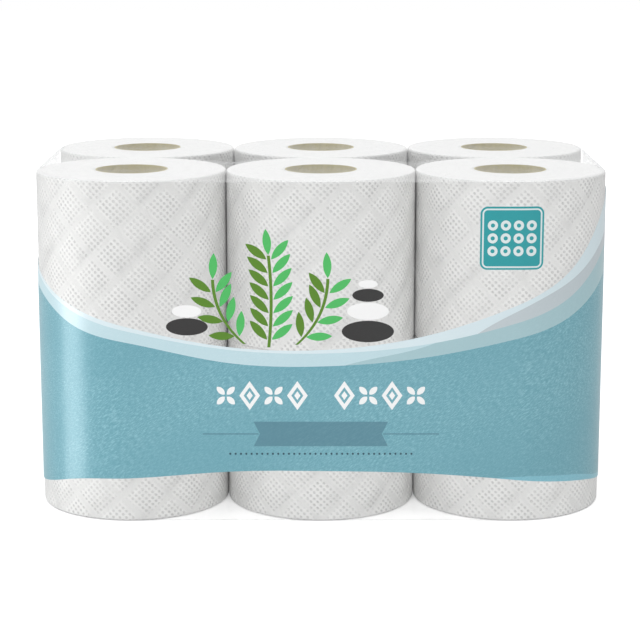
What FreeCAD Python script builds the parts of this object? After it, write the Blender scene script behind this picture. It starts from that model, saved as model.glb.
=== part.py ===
import FreeCAD, Part
import Sketcher
import math
import os

# Film-wrapped pack of twelve paper rolls: three columns wide, two deep and two rolls high.
# Millimetres, +Z up, front towards -Y, origin at the middle of the pack's underside.

doc = FreeCAD.newDocument("roll_pack")
Vector = FreeCAD.Vector
Rotation = FreeCAD.Rotation
TINY = 0.001

# Driving sizes, then the sizes that follow from them
SIZES = (
    ("roll_diameter", "112"),
    ("roll_height", "100"),
    ("roll_edge", "1.2"),
    ("roll_gap", "0.3"),
    ("stack_gap", "0.1"),
    ("core_bore", "41"),
    ("core_wall", "0.8"),
    ("core_fit", "0.15"),
    ("turn_count", "4"),
    ("turn_width", "0.5"),
    ("turn_depth", "0.4"),
    ("film_fit", "0.15"),
    ("film_thickness", "0.3"),
    ("ink_thickness", "0.2"),
    ("ink_fit", "0.1"),
    ("fold_margin", "3"),
    ("fold_meet", "24"),
    ("fold_lip", "3"),
    ("seal_width", "40"),
    ("seal_height", "18"),
    ("seam_low", "8"),
    ("seam_height", "10"),
    ("column_pitch", "=roll_diameter + roll_gap"),
    ("layer_pitch", "=roll_height + stack_gap"),
    ("stack_height", "=layer_pitch + roll_height"),
    ("core_outside", "=core_bore + 2 * core_wall"),
    ("roll_bore", "=core_outside + 2 * core_fit"),
    ("turn_first", "=roll_bore / 2 + turn_width"),
    ("turn_last", "=roll_diameter / 2 - roll_edge - 2 * turn_width"),
    ("turn_growth", "=(turn_last - turn_first) / turn_count"),
    ("cavity_width", "=2 * column_pitch + roll_diameter + 2 * film_fit"),
    ("cavity_depth", "=column_pitch + roll_diameter + 2 * film_fit"),
    ("cavity_corner", "=roll_diameter / 2 + film_fit"),
    ("cavity_height", "=stack_height + film_fit"),
    ("film_width", "=cavity_width + 2 * film_thickness"),
    ("film_depth", "=cavity_depth + 2 * film_thickness"),
    ("film_corner", "=cavity_corner + film_thickness"),
    ("film_height", "=cavity_height + 2 * film_thickness"),
    ("film_edge", "=roll_edge + film_thickness"),
    ("ink_layer", "=ink_fit + ink_thickness"),
    ("ink_low", "=film_edge + fold_lip + film_fit"),
    ("ink_high", "=film_height - ink_low"),
    ("fold_inner", "=film_width / 2 + ink_layer"),
    ("fold_outer", "=fold_inner + film_thickness"),
    ("fold_base", "=film_depth - 2 * film_corner - 2 * fold_margin"),
)

sheet = doc.addObject("Spreadsheet::Sheet", "Sizes")
for row, (alias, value) in enumerate(SIZES, start=1):
    sheet.set("A%d" % row, alias)
    sheet.set("B%d" % row, value)
    sheet.setAlias("B%d" % row, alias)
doc.recompute()


def size(alias):
    return float(sheet.get(alias))


def bind(thing, links):
    for place, formula in links.items():
        thing.setExpression(place, formula)


def named_edges(shape, is_wanted):
    return ["Edge%d" % (index + 1) for index, edge in enumerate(shape.Edges) if is_wanted(edge)]


def floor_sketch(body, name):
    sketch = body.newObject("Sketcher::SketchObject", name)
    planes = [plane for plane in body.Origin.OriginFeatures if plane.Role == "XY_Plane"]
    sketch.AttachmentSupport = [(planes[0], "")]
    sketch.MapMode = "FlatFace"
    return sketch


# Paper and cores both start as a ring: two circles on the floor plane, raised to the roll height
def ring_body(name, outside, bore):
    body = doc.addObject("PartDesign::Body", name)
    circles = floor_sketch(body, name + "_circles")
    for index, diameter in enumerate((outside, bore)):
        circle = Part.Circle(Vector(0, 0, 0), Vector(0, 0, 1), size(diameter) / 2)
        circles.addGeometry(circle)
        circles.addConstraint(Sketcher.Constraint("Coincident", index, 3, -1, 1))
        rule = circles.addConstraint(Sketcher.Constraint("Diameter", index, size(diameter)))
        circles.renameConstraint(rule, diameter)
        circles.setExpression("Constraints." + diameter, "Sizes." + diameter)
    pad = body.newObject("PartDesign::Pad", name + "_pad")
    pad.Profile = circles
    pad.setExpression("Length", "Sizes.roll_height")
    doc.recompute()
    return body, pad


# A closed form with the pack's outline: a rectangle whose upright edges are rounded
def pack_block(name, width, depth, corner, height, low):
    body = doc.addObject("PartDesign::Body", name)
    outline = floor_sketch(body, name + "_outline")
    across, along = size("film_width") / 2, size("film_depth") / 2
    corners = [Vector(x, y, 0) for x, y in
               ((-across, -along), (across, -along), (across, along), (-across, along))]
    for index in range(4):
        outline.addGeometry(Part.LineSegment(corners[index], corners[(index + 1) % 4]))
    for index in range(4):
        outline.addConstraint(Sketcher.Constraint("Coincident", index, 2, (index + 1) % 4, 1))
        direction = "Horizontal" if index % 2 == 0 else "Vertical"
        outline.addConstraint(Sketcher.Constraint(direction, index))
    outline.addConstraint(Sketcher.Constraint("Symmetric", 0, 1, 2, 1, -1, 1))
    for rule_name, kind, line, formula in (("wide", "DistanceX", 0, width),
                                           ("deep", "DistanceY", 1, depth)):
        rule = outline.addConstraint(Sketcher.Constraint(kind, line, 1, line, 2, 2 * along))
        outline.renameConstraint(rule, rule_name)
        outline.setExpression("Constraints." + rule_name, formula)
    outline.setExpression("AttachmentOffset.Base.z", low)
    pad = body.newObject("PartDesign::Pad", name + "_pad")
    pad.Profile = outline
    pad.setExpression("Length", height)
    doc.recompute()
    uprights = body.newObject("PartDesign::Fillet", name + "_corners")
    uprights.Base = (pad, named_edges(pad.Shape, lambda edge: edge.BoundBox.ZLength > TINY))
    uprights.setExpression("Radius", corner)
    doc.recompute()
    return body, uprights


def round_rims(body, feature, radius):
    rims = body.newObject("PartDesign::Fillet", body.Name + "_rims")
    rims.Base = (feature, named_edges(feature.Shape, lambda edge: edge.BoundBox.ZLength < TINY))
    rims.setExpression("Radius", radius)
    doc.recompute()


def box(name, length, width, height, corner):
    block = doc.addObject("Part::Box", name)
    bind(block, {"Length": length, "Width": width, "Height": height})
    for axis, formula in zip("xyz", corner):
        block.setExpression("Placement.Base." + axis, formula)
    return block


def fused(name, pieces):
    union = doc.addObject("Part::MultiFuse", name)
    union.Shapes = pieces
    return union


def taken(name, base, tool):
    cut = doc.addObject("Part::Cut", name)
    cut.Base = base
    cut.Tool = tool
    return cut


# Paper roll: the wound sheet is one solid. Its turns show on both ends as a shallow spiral
# that starts at the core and runs out at the loose end, a slit down the outside.
roll_blank, roll_pad = ring_body("roll_blank", "roll_diameter", "roll_bore")
roll_rims = roll_blank.newObject("PartDesign::Fillet", "roll_rims")
roll_rims.Base = (roll_pad, named_edges(
    roll_pad.Shape,
    lambda edge: edge.Closed and abs(edge.Curve.Radius - size("roll_diameter") / 2) < TINY))
roll_rims.setExpression("Radius", "Sizes.roll_edge")
doc.recompute()


def turn_line(aside):
    """Half circles that grow by half a turn's step each time, set aside by the groove's width."""
    first, step, half_turns = size("turn_first"), size("turn_growth"), 2 * int(size("turn_count"))
    arcs = []
    for half in range(half_turns):
        start = first + step * (half // 2)
        if half % 2 == 0:
            middle, radius, rise = 0.0, start, 1
        else:
            middle, radius, rise = step / 2, start + step / 2, -1
        radius += aside
        arcs.append(Part.Arc(Vector(middle + rise * radius, 0, 0),
                             Vector(middle, rise * radius, 0),
                             Vector(middle - rise * radius, 0, 0)).toShape())
    return arcs


turn_lines = [turn_line(0), turn_line(size("turn_width"))]
turn_ends = [
    Part.makeLine(*[line[0].valueAt(line[0].FirstParameter) for line in turn_lines]),
    Part.makeLine(*[line[-1].valueAt(line[-1].LastParameter) for line in turn_lines]),
]
turn_drawing = doc.addObject("Part::Feature", "turn_drawing")
turn_drawing.Shape = Part.Face(Part.Wire(Part.__sortEdges__(sum(turn_lines, []) + turn_ends)))


def turn_groove(name, level):
    groove = doc.addObject("Part::Extrusion", name)
    groove.Base = turn_drawing
    groove.DirMode = "Custom"
    groove.Dir = Vector(0, 0, 1)
    groove.Solid = True
    groove.Symmetric = True
    groove.setExpression("LengthFwd", "2 * Sizes.turn_depth")
    groove.setExpression("Placement.Base.z", level)
    return groove


loose_end = box("loose_end", "2 * Sizes.turn_depth", "Sizes.turn_width", "Sizes.roll_height",
                ("Sizes.roll_diameter / 2 - Sizes.turn_depth", "0", "0"))
roll_grooves = fused("roll_grooves", [
    turn_groove("turns_below", "0"),
    turn_groove("turns_above", "Sizes.roll_height"),
    loose_end,
])
doc.recompute()

COLUMNS = (("left", -1), ("middle", 0), ("right", 1))
ROWS = (("front", -0.5), ("back", 0.5))
LAYERS = (("bottom", 0), ("top", 1))
LOOSE_END_TURN = {"front": 90, "back": -90}

sub_parts = []


def keep(piece, label):
    piece.Label = label
    sub_parts.append(piece)


def stand_in_pack(piece, across, along, layer):
    bind(piece, {
        "Placement.Base.x": "%g * Sizes.column_pitch" % across,
        "Placement.Base.y": "%g * Sizes.column_pitch" % along,
        "Placement.Base.z": "Sizes.film_thickness + %d * Sizes.layer_pitch" % layer,
    })


# Rolls and their card cores, each loose end turned towards the middle of the pack
for layer_name, layer in LAYERS:
    for row_name, along in ROWS:
        for column_name, across in COLUMNS:
            place = "%s_%s_%s" % (layer_name, row_name, column_name)
            roll = taken("roll_" + place, roll_blank, roll_grooves)
            roll.Placement.Rotation = Rotation(Vector(0, 0, 1), LOOSE_END_TURN[row_name])
            stand_in_pack(roll, across, along, layer)
            keep(roll, "roll_" + place)
            core, core_pad = ring_body("core_" + place, "core_outside", "core_bore")
            stand_in_pack(core, across, along, layer)
            keep(core, "core_" + place)

# Film bag: a closed skin drawn tight round the six columns
film_outside, film_corners = pack_block(
    "film_outside", "Sizes.film_width", "Sizes.film_depth", "Sizes.film_corner",
    "Sizes.film_height", "0")
round_rims(film_outside, film_corners, "Sizes.film_edge")
film_cavity, cavity_corners = pack_block(
    "film_cavity", "Sizes.cavity_width", "Sizes.cavity_depth", "Sizes.cavity_corner",
    "Sizes.cavity_height", "Sizes.film_thickness")
round_rims(film_cavity, cavity_corners, "Sizes.roll_edge")
film_skin = taken("film_skin", film_outside, film_cavity)

# Envelope folds on both ends: a flap comes down from the top and one up from the bottom, over
# the printed skin, and a heat-sealed strip holds them where they meet at half height
CYCLE_AXES = Rotation(Vector(1, 1, 1), 120)
fold_pieces = []


def fold_flap(name, side, low, high, low_width, high_width):
    flap = doc.addObject("Part::Wedge", name)
    near, far = ("fold_inner", "fold_outer") if side > 0 else ("fold_outer", "fold_inner")
    bind(flap, {
        "Ymin": low,
        "Ymax": high,
        "Xmin": "-%s / 2" % low_width,
        "Xmax": "%s / 2" % low_width,
        "X2min": "-%s / 2" % high_width,
        "X2max": "%s / 2" % high_width,
        "Zmin": "%d * Sizes.%s" % (side, near),
        "Z2min": "%d * Sizes.%s" % (side, near),
        "Zmax": "%d * Sizes.%s" % (side, far),
        "Z2max": "%d * Sizes.%s" % (side, far),
    })
    flap.Placement.Rotation = CYCLE_AXES
    return flap


for side_name, side in (("left", -1), ("right", 1)):
    top_flap = fold_flap("flap_top_" + side_name, side,
                         "Sizes.film_height / 2", "Sizes.film_height - Sizes.film_edge",
                         "Sizes.fold_meet", "Sizes.fold_base")
    bottom_flap = fold_flap("flap_bottom_" + side_name, side,
                            "Sizes.film_edge", "Sizes.film_height / 2",
                            "Sizes.fold_base", "Sizes.fold_meet")
    lip_reach = "Sizes.fold_outer - Sizes.film_width / 2 + Sizes.film_thickness / 2"
    lip_start = "Sizes.film_width / 2 - Sizes.film_thickness / 2"
    if side < 0:
        lip_start = "-Sizes.fold_outer"
    lips = [
        box("lip_%s_%s" % (level, side_name), lip_reach, "Sizes.fold_base - Sizes.fold_lip",
            "Sizes.fold_lip",
            (lip_start, "-(Sizes.fold_base - Sizes.fold_lip) / 2", height))
        for level, height in (
            ("bottom", "Sizes.film_edge"),
            ("top", "Sizes.film_height - Sizes.film_edge - Sizes.fold_lip"))
    ]
    seal_start = "Sizes.fold_outer" if side > 0 else "-Sizes.fold_outer - Sizes.film_thickness"
    seal = box("seal_" + side_name, "Sizes.film_thickness", "Sizes.seal_width",
               "Sizes.seal_height",
               (seal_start, "-Sizes.seal_width / 2",
                "(Sizes.film_height - Sizes.seal_height) / 2"))
    fold_pieces += [top_flap, bottom_flap, seal] + lips

# Lap seam: where the film's two edges overlap, low along the back
back_seam = box("back_seam", "2 * Sizes.column_pitch",
                "2 * Sizes.ink_layer + Sizes.film_thickness / 2", "Sizes.seam_height",
                ("-Sizes.column_pitch", "Sizes.film_depth / 2 - Sizes.film_thickness / 2",
                 "Sizes.seam_low"))
film_wrap = fused("film_wrap", [film_skin, back_seam] + fold_pieces)
keep(film_wrap, "film_wrap")
doc.recompute()

# Inks: each is a thin layer on the film, drawn in the front view and carried straight back.
# The first layer lies on the film and the second on the first.


def ink_sleeve(name, layers_below):
    forms = []
    for side, growth in (
            ("inside", "(%d * Sizes.ink_layer + Sizes.ink_fit)" % layers_below),
            ("outside", "(%d * Sizes.ink_layer)" % (layers_below + 1))):
        form, corners = pack_block(
            "%s_%s" % (name, side), "Sizes.film_width + 2 * " + growth,
            "Sizes.film_depth + 2 * " + growth, "Sizes.film_corner + " + growth,
            "Sizes.ink_high - Sizes.ink_low", "Sizes.ink_low")
        forms.append(form)
    return taken(name, forms[1], forms[0])


first_layer = ink_sleeve("first_layer", 0)
second_layer = ink_sleeve("second_layer", 1)

# The artwork is drawn for this panel, and stretches with the pack
ART_WIDTH = 338.0
ART_HEIGHT = 201.0
ART_EDGE = 1.02 * ART_WIDTH / 2


def art(x, z):
    return Vector(x * size("film_width") / ART_WIDTH, 0, z * size("film_height") / ART_HEIGHT)


def smooth_line(points):
    curve = Part.BSplineCurve()
    curve.interpolate([art(x, z) for x, z in points])
    return curve.toShape()


def face_of(edges):
    return Part.Face(Part.Wire(Part.__sortEdges__(edges)))


def field_between(lower, upper):
    ends = [Part.makeLine(art(*lower[end]), art(*upper[end])) for end in (0, -1)]
    return face_of([smooth_line(lower), smooth_line(upper)] + ends)


def polygon(corners):
    points = [art(x, z) for x, z in corners]
    return Part.Face(Part.makePolygon(points + points[:1]))


def carried_back(name, faces, whole_pack):
    drawing = doc.addObject("Part::Feature", name + "_drawing")
    drawing.Shape = Part.Compound(faces)
    block = doc.addObject("Part::Extrusion", name + "_block")
    block.Base = drawing
    block.DirMode = "Custom"
    block.Dir = Vector(0, -1, 0)
    block.Solid = True
    block.setExpression("LengthFwd", "Sizes.film_depth")
    if whole_pack:
        block.setExpression("LengthRev", "Sizes.film_depth")
    return block


def printed(name, faces, layer, whole_pack=False):
    field = doc.addObject("Part::Common", name)
    field.Base = layer
    field.Tool = carried_back(name, faces, whole_pack)
    return field


# Wave edges across the front, from the left end to the right end: heights at these stations
STATIONS = (-ART_EDGE, -161, -145, -112, -56, 0, 56, 112, 145, 161, ART_EDGE)


def wave(heights):
    return list(zip(STATIONS, heights))


BAND_FOOT = wave((12.0, 17.5, 23.2, 26.2, 30.2, 30.7, 29.5, 25.4, 21.7, 18.2, 12.5))
BLUE_TOP = wave((139.0, 127.6, 116.2, 107.1, 95.6, 93.2, 97.8, 109.2, 121.0, 133.5, 150.0))
STRIPE_TOP = wave((151.0, 134.9, 124.3, 113.8, 103.3, 100.8, 105.4, 118.4, 132.8, 148.5, 169.0))
PALE_TOP = wave((155.0, 137.3, 127.1, 116.3, 104.9, 102.8, 110.1, 128.6, 148.6, 171.5, 200.0))

# Tone changes inside the stripes on the right, and the lighter hem along the band's foot
LIGHT_FADE = ((1, 89), (34, 98.6), (57, 103.9), (75, 110.9), (110, 130), (ART_EDGE, 177))
GREY_SHADE = ((78, 102), (100, 118.6), (116, 127), (131, 134.6), (145, 142.2), (160.5, 156),
              (ART_EDGE, 177))
HEM_TOP = ((86, 25.5), (105, 26.6), (122.5, 27.3), (141, 26), (154, 23.8), (166, 18.9),
           (ART_EDGE, 16.5))
BELOW_ALL = -20.0


def beneath(line):
    ends = (line[0][0], line[-1][0])
    floor = [art(x, BELOW_ALL) for x in ends]
    sides = [Part.makeLine(floor[index], art(*line[-index])) for index in (0, 1)]
    return face_of([smooth_line(line), Part.makeLine(floor[0], floor[1])] + sides)


def split_tone(field, name, upper_name, lower_name, line):
    """Part a field at a line: what lies beneath the line gets its own tone."""
    block = carried_back(name, [beneath(line)], True)
    lower = doc.addObject("Part::Common", lower_name)
    lower.Base = field
    lower.Tool = block
    upper = taken(upper_name, field, block)
    return upper, lower


blue_field = printed("blue_field", [field_between(BAND_FOOT, BLUE_TOP)], first_layer, True)
stripe_field = printed("stripe_field", [field_between(BLUE_TOP, STRIPE_TOP)], first_layer, True)
pale_field = printed("pale_field", [field_between(STRIPE_TOP, PALE_TOP)], first_layer, True)

band_blue, band_hem = split_tone(blue_field, "hem", "print_band_blue", "print_band_hem", HEM_TOP)
stripe_light, stripe_teal = split_tone(
    stripe_field, "fade", "print_stripe_light", "print_stripe_teal", LIGHT_FADE)
stripe_pale, stripe_grey = split_tone(
    pale_field, "shade", "print_stripe_pale", "print_stripe_grey", GREY_SHADE)
for field in (band_blue, band_hem, stripe_light, stripe_teal, stripe_pale, stripe_grey):
    keep(field, field.Name)

# Badge on the right column: a rounded square with a fine frame, and twelve rings in rows of four
BADGE_MIDDLE = (108.9, 168.0)
BADGE_HALF = 18.2
BADGE_CORNER = 4.2
FRAME_INSET = 1.1
FRAME_LINE = 0.9
RING_PITCH = 7.4
RING_OUTER = 2.9
RING_INNER = 1.2


def rounded_square(middle, half, corner):
    x, z = middle
    reach = half - corner
    turn = corner * math.sqrt(0.5)
    edges = []
    for index in range(4):
        angle = math.radians(90 * index)

        def spun(across, up, angle=angle):
            return art(x + across * math.cos(angle) - up * math.sin(angle),
                       z + across * math.sin(angle) + up * math.cos(angle))

        edges.append(Part.makeLine(spun(half, -reach), spun(half, reach)))
        edges.append(Part.Arc(spun(half, reach), spun(reach + turn, reach + turn),
                              spun(reach, half)).toShape())
    return face_of(edges)


def disc(x, z, radius):
    circle = Part.Circle(art(x, z), Vector(0, -1, 0), radius)
    return face_of([circle.toShape()])


frame_outer = rounded_square(BADGE_MIDDLE, BADGE_HALF - FRAME_INSET, BADGE_CORNER - FRAME_INSET)
frame_inset = FRAME_INSET + FRAME_LINE
frame_inner = rounded_square(BADGE_MIDDLE, BADGE_HALF - frame_inset, BADGE_CORNER - frame_inset)
badge_marks = [frame_outer.cut(frame_inner)]
for row in (-1, 0, 1):
    for column in (-1.5, -0.5, 0.5, 1.5):
        spot = (BADGE_MIDDLE[0] + column * RING_PITCH, BADGE_MIDDLE[1] + row * RING_PITCH)
        badge_marks.append(disc(*spot, RING_OUTER).cut(disc(*spot, RING_INNER)))
badge_field = printed(
    "print_badge", [rounded_square(BADGE_MIDDLE, BADGE_HALF, BADGE_CORNER)], first_layer)
keep(badge_field, "print_badge")
keep(printed("print_badge_marks", badge_marks, second_layer), "print_badge_marks")

# Ribbon with notched ends on the blue band, and a fine rule out from each end
RIBBON_HALF = 39.0
RIBBON_LOW = 45.8
RIBBON_HIGH = 60.4
RIBBON_NOTCH = 3.6
RULE_START = 35.6
RULE_END = 68.6
RULE_HALF = 0.35
RULE_GAP = 0.6
ribbon_middle = (RIBBON_LOW + RIBBON_HIGH) / 2
ribbon_face = polygon((
    (-RIBBON_HALF, RIBBON_LOW), (RIBBON_HALF, RIBBON_LOW),
    (RIBBON_HALF - RIBBON_NOTCH, ribbon_middle), (RIBBON_HALF, RIBBON_HIGH),
    (-RIBBON_HALF, RIBBON_HIGH), (-RIBBON_HALF + RIBBON_NOTCH, ribbon_middle)))
rules = [
    polygon((
        (side * (RULE_START + RULE_GAP), ribbon_middle - RULE_HALF),
        (side * RULE_END, ribbon_middle - RULE_HALF),
        (side * RULE_END, ribbon_middle + RULE_HALF),
        (side * (RULE_START + RULE_GAP), ribbon_middle + RULE_HALF)))
    for side in (-1, 1)
]
keep(printed("print_ribbon", [ribbon_face] + rules, second_layer), "print_ribbon")

# White quilt figures in a row above the ribbon: diamond frames and four-petal rosettes
FIGURE_MIDDLE = 76.0
FIGURE_PITCH = 13.8
FIGURE_START = 13.6
FIGURE_STEPS = (0, 1, 2, 3)
DIAMOND_WIDE = 6.0
DIAMOND_HIGH = 8.6
DIAMOND_LINE = 0.58
DIAMOND_HEART = 0.3
PETAL_LONG = 6.4
PETAL_ROUND = 1.7
PETAL_START = 0.64
PETAL_SIDES = ((1, 1), (-1, 1), (-1, -1), (1, -1))


def diamond(x, z, share):
    wide, high = DIAMOND_WIDE * share, DIAMOND_HIGH * share
    return polygon(((x - wide, z), (x, z - high), (x + wide, z), (x, z + high)))


def leaf(x, z, degrees, length, bulge):
    """A pointed leaf from (x, z): two arcs that meet at both ends."""
    angle = math.radians(degrees)

    def along(distance, aside):
        return art(x + distance * math.cos(angle) - aside * math.sin(angle),
                   z + distance * math.sin(angle) + aside * math.cos(angle))

    sides = [Part.Arc(along(0, 0), along(length / 2, side * bulge), along(length, 0)).toShape()
             for side in (-1, 1)]
    return face_of(sides)


figures = []
for side in (-1, 1):
    for step in FIGURE_STEPS:
        x = side * (FIGURE_START + step * FIGURE_PITCH)
        if step % 2 == 0:
            frame = diamond(x, FIGURE_MIDDLE, 1).cut(diamond(x, FIGURE_MIDDLE, DIAMOND_LINE))
            figures += [frame, diamond(x, FIGURE_MIDDLE, DIAMOND_HEART)]
        else:
            for right, up in PETAL_SIDES:
                figures.append(leaf(
                    x + right * PETAL_START, FIGURE_MIDDLE + up * PETAL_START,
                    math.degrees(math.atan2(up, right)), PETAL_LONG, PETAL_ROUND))
keep(printed("print_figures", figures, second_layer), "print_figures")

# Row of fine dark dots under the ribbon
DOT_LEVEL = 41.2
DOT_RADIUS = 0.62
DOT_PITCH = 3.1
DOT_ROW_HALF = 54.3
dots_each_side = int(DOT_ROW_HALF / DOT_PITCH)
dots = [disc(index * DOT_PITCH, DOT_LEVEL, DOT_RADIUS)
        for index in range(-dots_each_side, dots_each_side + 1)]
keep(printed("print_dots", dots, second_layer), "print_dots")

# Three leafy sprigs fan out over the wave: a bent stem with leaves in pairs and one at the tip.
# Each row: foot x, foot z, tip x, tip z, sideways bend; then how far apart its leaf pairs are
SPRIGS = (
    ((-44.0, 106.5, -62.0, 144.0, -5.0), 8.6),
    ((-30.0, 104.5, -30.0, 158.0, 1.5), 7.8),
    ((-14.0, 106.0, 4.0, 144.5, 5.0), 8.6),
)
STEM_WIDTH = 1.8
LEAF_LENGTH = 15.0
LEAF_BULGE = 2.4
LEAF_SPREAD = 47.0
LEAF_GAP = 0.45
BARE_FOOT = 4.5


def sprig_point(sprig, share):
    """The stem's place and its heading, in degrees, at a share of its length."""
    foot_x, foot_z, tip_x, tip_z, bend = sprig
    x = foot_x + (tip_x - foot_x) * share + bend * 4 * share * (1 - share)
    z = foot_z + (tip_z - foot_z) * share
    heading = math.atan2(tip_z - foot_z, tip_x - foot_x + bend * 4 * (1 - 2 * share))
    return x, z, math.degrees(heading)


dark_growth, light_growth = [], []
for sprig, pair_step in SPRIGS:
    steps = [sprig_point(sprig, share)[:2] for share in (0, 0.5, 1)]
    sides = [[(x + aside, z) for x, z in steps] for aside in (-STEM_WIDTH / 2, STEM_WIDTH / 2)]
    ends = [Part.makeLine(art(*sides[0][end]), art(*sides[1][end])) for end in (0, -1)]
    dark_growth.append(face_of([smooth_line(side) for side in sides] + ends))
    rise = sprig[3] - sprig[1]
    seat = STEM_WIDTH / 2 + LEAF_GAP
    for index in range(int((rise - BARE_FOOT) / pair_step) + 1):
        x, z, heading = sprig_point(sprig, (BARE_FOOT + index * pair_step) / rise)
        dark_growth.append(leaf(x - seat, z, heading + LEAF_SPREAD, LEAF_LENGTH, LEAF_BULGE))
        light_growth.append(leaf(x + seat, z, heading - LEAF_SPREAD, LEAF_LENGTH, LEAF_BULGE))
    x, z, heading = sprig_point(sprig, 1)
    light_growth.append(leaf(x, z + LEAF_GAP, heading, LEAF_LENGTH, LEAF_BULGE))

# Smooth pebbles in two piles, one each side of the sprigs, charcoal and white by turns.
# Each row: middle x, lowest z, half widths from the bottom up
PEBBLE_PILES = (
    (-77.0, 111.5, (12.0, 8.5)),
    (27.0, 107.5, (15.0, 12.0, 9.0, 5.5)),
)
PEBBLE_FLATNESS = 0.42
PEBBLE_GAP = 0.5


def pebble(x, z, half_width, half_height):
    oval = Part.Ellipse(art(x + half_width, z), art(x, z + half_height), art(x, z))
    return face_of([oval.toShape()])


dark_pebbles, white_pebbles = [], []
for x, low, half_widths in PEBBLE_PILES:
    for index, half_width in enumerate(half_widths):
        half_height = half_width * PEBBLE_FLATNESS
        tone = dark_pebbles if index % 2 == 0 else white_pebbles
        tone.append(pebble(x, low + half_height, half_width, half_height))
        low += 2 * half_height + PEBBLE_GAP

keep(printed("print_leaves_dark", dark_growth, first_layer), "print_leaves_dark")
keep(printed("print_leaves_light", light_growth, first_layer), "print_leaves_light")
keep(printed("print_pebbles_dark", dark_pebbles, first_layer), "print_pebbles_dark")
keep(printed("print_pebbles_white", white_pebbles, first_layer), "print_pebbles_white")

doc.recompute()

# Every object has to be sound before anything is written
for item in doc.Objects:
    if "Invalid" in item.State or "Error" in item.State:
        raise RuntimeError("%s failed: %s" % (item.Name, item.State))
for piece in sub_parts:
    if piece.Shape.isNull() or not piece.Shape.isValid() or not piece.Shape.Solids:
        raise RuntimeError("%s has no sound solid" % piece.Label)

os.makedirs("parts", exist_ok=True)
for piece in sub_parts:
    piece.Shape.exportStep("parts/%s.step" % piece.Label)
    print("%-26s %3d solids %12.1f mm3" % (piece.Label, len(piece.Shape.Solids),
                                           piece.Shape.Volume))
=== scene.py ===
import bmesh
import bpy
import math
import numpy as np
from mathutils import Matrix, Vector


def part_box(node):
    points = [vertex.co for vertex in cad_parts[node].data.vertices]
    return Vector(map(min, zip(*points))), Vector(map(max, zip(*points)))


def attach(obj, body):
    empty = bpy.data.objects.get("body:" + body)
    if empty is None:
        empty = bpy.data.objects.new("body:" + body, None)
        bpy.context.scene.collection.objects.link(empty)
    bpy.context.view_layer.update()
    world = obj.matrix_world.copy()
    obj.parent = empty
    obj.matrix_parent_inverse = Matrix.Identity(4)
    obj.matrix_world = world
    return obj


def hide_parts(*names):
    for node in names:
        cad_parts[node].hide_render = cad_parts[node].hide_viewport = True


# A film-wrapped pack of twelve paper rolls: three columns wide, two deep and two rolls high.
# Metres, +Z up, front towards -Y, as in the CAD frame.
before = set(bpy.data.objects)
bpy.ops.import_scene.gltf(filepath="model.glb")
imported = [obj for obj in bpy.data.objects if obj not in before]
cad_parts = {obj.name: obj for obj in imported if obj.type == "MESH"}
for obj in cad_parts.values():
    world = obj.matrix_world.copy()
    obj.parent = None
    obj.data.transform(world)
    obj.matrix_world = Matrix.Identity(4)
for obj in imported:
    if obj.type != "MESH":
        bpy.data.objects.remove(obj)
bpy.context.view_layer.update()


# ---- Paper rolls ----
# Each roll is soft two-ply tissue wound on a card core and sawn to length. Before winding, a
# steel roller presses the sheet into a quilt: diamonds filled with rows of fine pits, parted by
# smooth channels.
PLACES = ["%s_%s_%s" % (layer, row, column)
          for layer in ("bottom", "top") for row in ("front", "back")
          for column in ("left", "middle", "right")]
ROLL_RADIUS = 0.056
ROLL_HEIGHT = 0.1
ROLL_BORE = 0.02145
RIM_ROUND = 0.0012
COLUMN_PITCH = 0.1123
LAYER_PITCH = 0.1001
LOWEST_PAPER = 0.0003
QUILT_ROUND = 12
QUILT_HEIGHT = 0.0282
PITS_PER_DIAMOND = 7.5
COLUMN_SHIFT = 0.35
CHANNEL_HALF = 0.0036
CHANNEL_DEPTH = 0.0008
PIT_MARGIN = 0.0017
TOUCH_SWELL = 0.00012
ROLL_COLUMNS = 192
ROLL_ROWS = 60
PAPER_WHITE = (0.89, 0.89, 0.88, 1)
# Painted shade in the pressed channels
PAPER_CHANNEL_SHADE = (0.82, 0.82, 0.81, 1)
# Painted shade in the pits
PAPER_PIT_SHADE = (0.66, 0.66, 0.655, 1)
# Painted shade on the lower right of each diamond
PAPER_LEE_SHADE = (0.68, 0.68, 0.675, 1)
PAPER_END = (0.93, 0.93, 0.925, 1)
# Lines of the quilt cross both ways, so they lie this far apart
QUILT_LINE_GAP = 1 / math.hypot(
    QUILT_ROUND / (2 * math.pi * ROLL_RADIUS), 1 / QUILT_HEIGHT)


def step(tree, operation, *values):
    """One Math node: each value is a number or another node's socket."""
    node = tree.nodes.new("ShaderNodeMath")
    node.operation = operation
    for socket, value in zip(node.inputs, values):
        if isinstance(value, bpy.types.NodeSocket):
            tree.links.new(value, socket)
        else:
            socket.default_value = value
    return node.outputs[0]


def ease(tree, value, low, high, at_low, at_high):
    """Smoothly from at_low, where the value is low, to at_high, where it is high."""
    node = tree.nodes.new("ShaderNodeMapRange")
    node.interpolation_type = "SMOOTHSTEP"
    tree.links.new(value, node.inputs["Value"])
    for socket, number in zip(("From Min", "From Max", "To Min", "To Max"),
                              (low, high, at_low, at_high)):
        if isinstance(number, bpy.types.NodeSocket):
            tree.links.new(number, node.inputs[socket])
        else:
            node.inputs[socket].default_value = number
    return node.outputs["Result"]


def quilt_line_distance(tree, turns, levels):
    """How far the paper is from the nearest line of the quilt, in metres."""
    rising = step(tree, "PINGPONG", step(tree, "ADD", turns, levels), 0.5)
    falling = step(tree, "PINGPONG", step(tree, "SUBTRACT", turns, levels), 0.5)
    return step(tree, "MULTIPLY", step(tree, "MINIMUM", rising, falling), QUILT_LINE_GAP)


def plain_material(name, roughness):
    material = bpy.data.materials.new(name)
    material.use_nodes = True
    tree = material.node_tree
    shader = tree.nodes["Principled BSDF"]
    shader.inputs["Roughness"].default_value = roughness
    return material, tree, shader


def place_in_object(tree):
    node = tree.nodes.new("ShaderNodeTexCoord")
    return node.outputs["Object"]


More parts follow.
